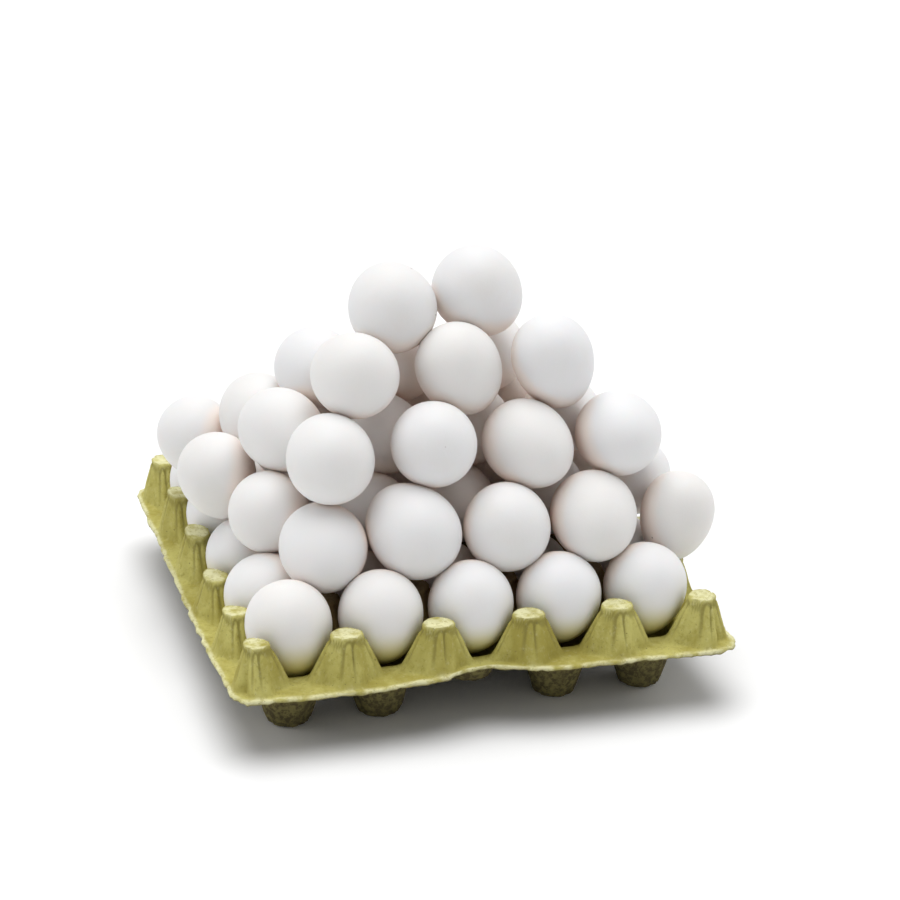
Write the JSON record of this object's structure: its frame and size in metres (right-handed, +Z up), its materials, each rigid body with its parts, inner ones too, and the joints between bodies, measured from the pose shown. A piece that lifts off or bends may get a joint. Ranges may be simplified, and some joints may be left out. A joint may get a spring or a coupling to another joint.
{
  "type": "egg tray with heaped eggs",
  "caption": "Square tray of moulded yellow-green pulp with cups and tapered posts, heaped with a stepped pyramid of white hen's eggs.",
  "frame": {"origin": "middle of the tray, on the flat underside of the middle cup's foot, which is the surface that the tray stands on", "axes": "+X along the tray's front edge to the right, +Y from the front edge to the back, +Z up through the heap"},
  "size_m": [0.2727, 0.274, 0.2158],
  "materials": {
    "shell": "matte, very slightly porous eggshell",
    "pulp": "rough moulded pulp"
  },
  "bodies": {
    "root": {"egg_1_01": "shell", "egg_1_02": "shell", "egg_1_03": "shell", "egg_1_04": "shell", "egg_1_05": "shell", "egg_1_06": "shell", "egg_1_10": "shell", "egg_1_11": "shell", "egg_1_15": "shell", "egg_1_16": "shell", "egg_1_20": "shell", "egg_1_21": "shell", "egg_1_22": "shell", "egg_1_23": "shell", "egg_1_24": "shell", "egg_1_25": "shell", "egg_2_01": "shell", "egg_2_02": "shell", "egg_2_03": "shell", "egg_2_04": "shell", "egg_2_05": "shell", "egg_2_06": "shell", "egg_2_07": "shell", "egg_2_08": "shell", "egg_2_09": "shell", "egg_2_10": "shell", "egg_2_11": "shell", "egg_2_12": "shell", "egg_2_13": "shell", "egg_2_14": "shell", "egg_2_15": "shell", "egg_2_16": "shell", "egg_2_17": "shell", "egg_2_18": "shell", "egg_2_19": "shell", "egg_2_20": "shell", "egg_3_01": "shell", "egg_3_02": "shell", "egg_3_03": "shell", "egg_3_04": "shell", "egg_3_05": "shell", "egg_3_06": "shell", "egg_3_07": "shell", "egg_3_08": "shell", "egg_3_09": "shell", "egg_3_10": "shell", "egg_3_11": "shell", "egg_3_12": "shell", "egg_4_01": "shell", "egg_4_02": "shell", "egg_4_03": "shell", "egg_4_04": "shell", "egg_4_05": "shell", "egg_4_06": "shell", "egg_5_01": "shell", "egg_5_02": "shell", "tray": "pulp"}
  },
  "joints": []
}
